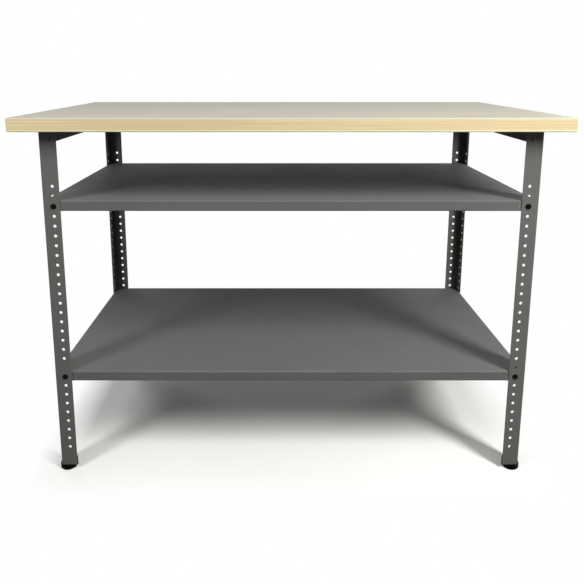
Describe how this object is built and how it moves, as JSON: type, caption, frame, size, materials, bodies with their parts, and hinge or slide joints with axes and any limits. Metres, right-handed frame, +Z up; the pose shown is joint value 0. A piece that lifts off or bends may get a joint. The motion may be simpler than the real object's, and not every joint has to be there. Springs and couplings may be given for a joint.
{
  "type": "assembly table",
  "caption": "Free-standing assembly table: laminated board top on perforated steel angle legs, with an upper and a lower folded tray shelf and black plastic feet.",
  "frame": {"origin": "on the floor under the middle of the table", "axes": "+X along the table to the right, -Y towards the front, +Z up"},
  "size_m": [1.2, 0.6, 0.85],
  "materials": {
    "laminate": "satin laminate",
    "board_core": "raw chipboard",
    "backing": "matt balancing sheet",
    "edge_band": "satin, pine look",
    "frame_paint": "satin powder coat",
    "shelf_paint": "satin powder coat",
    "foot_plastic": "matt",
    "bolt_black": "satin black",
    "zinc": "bright zinc"
  },
  "bodies": {
    "root": {"worktop_core": "board_core", "worktop_laminate": "laminate", "worktop_backing": "backing", "edge_band_front": "edge_band", "edge_band_back": "edge_band", "edge_band_left": "edge_band", "edge_band_right": "edge_band", "leg_front_left": "frame_paint", "leg_front_right": "frame_paint", "leg_back_left": "frame_paint", "leg_back_right": "frame_paint", "side_rail_left": "frame_paint", "side_rail_right": "frame_paint", "upper_shelf": "shelf_paint", "lower_shelf": "shelf_paint", "upper_shelf_stiffener": "shelf_paint", "lower_shelf_stiffener": "shelf_paint", "feet": "foot_plastic", "upper_shelf_bolts": "bolt_black", "lower_shelf_bolts": "bolt_black", "rail_bolts": "bolt_black", "upper_shelf_nuts": "zinc", "lower_shelf_nuts": "zinc", "rail_nuts": "zinc", "worktop_screws": "zinc"}
  },
  "joints": []
}
